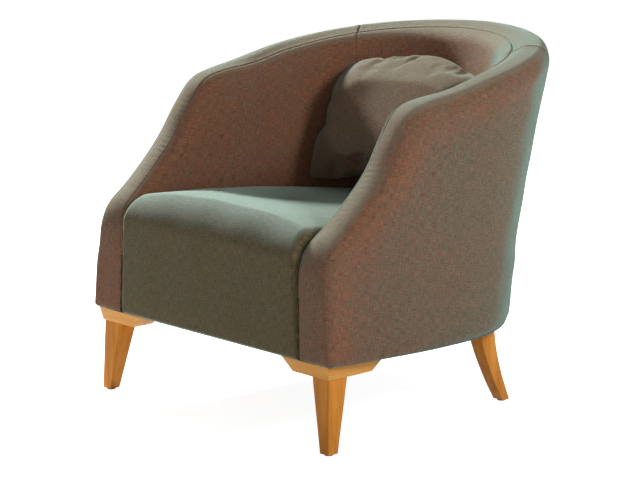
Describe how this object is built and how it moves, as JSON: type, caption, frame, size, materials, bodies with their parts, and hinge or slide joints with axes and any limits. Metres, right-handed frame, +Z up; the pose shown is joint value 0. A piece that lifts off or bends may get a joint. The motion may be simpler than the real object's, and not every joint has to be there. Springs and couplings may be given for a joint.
{
  "type": "tub armchair",
  "caption": "Low tub armchair with sloping arms that sweep up into a rounded back, a rolled seat edge, a loose back cushion and oak legs on L-shaped corner brackets.",
  "frame": {"origin": "on the floor, under the middle of the chair's width and depth", "axes": "+Z up, the seat faces -Y, +X towards the right arm of the part's own names"},
  "size_m": [0.77, 0.8498, 0.76],
  "materials": {
    "shot_cloth": "two-tone plain weave, rust and grey-teal yarns",
    "oak": "satin honey-coloured oak",
    "frame_timber": "planed beech and bent ply, unfinished",
    "fibre_board": "bent hardboard",
    "foam": "upholstery foam with wadding",
    "webbing": "woven elastic webbing",
    "dust_cloth": "black non-woven cloth",
    "zinc_steel": "zinc plated",
    "glide_plastic": "moulded nylon",
    "cushion_fibre": "polyester fibre in a woven case"
  },
  "bodies": {
    "chair": {"front_rail": "frame_timber", "side_rail_right": "frame_timber", "side_rail_left": "frame_timber", "rear_rail": "frame_timber", "corner_blocks": "frame_timber", "rear_leg_blocks": "frame_timber", "arm_rail_right": "frame_timber", "arm_rail_left": "frame_timber", "back_top_rail": "frame_timber", "uprights": "frame_timber", "seat_webbing": "webbing", "outer_board_right": "fibre_board", "outer_board_left": "fibre_board", "outer_board_back": "fibre_board", "inner_panel_right": "fibre_board", "inner_panel_left": "fibre_board", "inner_panel_back": "fibre_board", "arm_foam_right": "foam", "arm_foam_left": "foam", "back_foam": "foam", "rim_pad_right": "foam", "rim_pad_left": "foam", "rim_pad_back": "foam", "seat_foam": "foam", "seat_front_pad": "foam", "rim_band_right": "shot_cloth", "rim_band_left": "shot_cloth", "rim_band_back": "shot_cloth", "outer_cover_right": "shot_cloth", "outer_cover_left": "shot_cloth", "outer_cover_back": "shot_cloth", "inner_cover_right": "shot_cloth", "inner_cover_left": "shot_cloth", "inner_cover_back": "shot_cloth", "seat_cover": "shot_cloth", "dust_cover": "dust_cloth", "front_bracket_right": "oak", "front_bracket_left": "oak", "front_leg_right": "oak", "front_leg_left": "oak", "rear_leg_right": "oak", "rear_leg_left": "oak", "bracket_screws": "zinc_steel", "leg_dowels": "frame_timber", "hanger_bolts": "zinc_steel", "tee_nuts": "zinc_steel", "leg_glides": "glide_plastic"},
    "cushion": {"cushion_cover": "shot_cloth", "cushion_filling": "cushion_fibre"}
  },
  "joints": [
    {"name": "cushion_lift", "type": "slide", "parent": "chair", "child": "cushion", "axis": [0, 0, 1], "range_m": [0, 0.35]}
  ]
}
